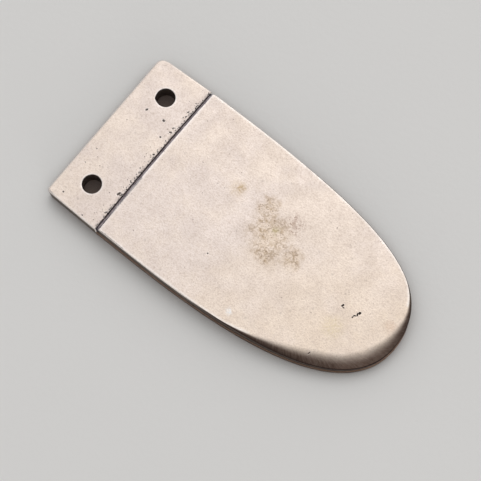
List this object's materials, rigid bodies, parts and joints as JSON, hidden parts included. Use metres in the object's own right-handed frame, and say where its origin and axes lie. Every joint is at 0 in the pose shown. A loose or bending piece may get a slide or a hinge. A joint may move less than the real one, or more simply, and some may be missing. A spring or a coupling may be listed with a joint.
{
  "type": "tongue-shaped guard plate",
  "caption": "Flat tongue-shaped cast bronze guard plate: a stepped-down fixing strip with screw holes at one end, and a raised tongue with a bevelled, rounded tip.",
  "frame": {"origin": "on the flat back face, midway between the two fixing holes", "axes": "+X from the fixing strip towards the rounded tip, +Y across the plate, +Z from the flat back to the worked face"},
  "size_m": [0.0795, 0.0401, 0.005],
  "materials": {
    "base_bronze": "satin hand-finished cast bronze",
    "tongue_bronze": "satin hand-finished cast bronze, brushed on the bevel",
    "solder": "dull, oxidised dark filler metal"
  },
  "bodies": {
    "root": {"base_plate": "base_bronze", "tongue_plate": "tongue_bronze", "solder_seam": "solder"}
  },
  "joints": []
}
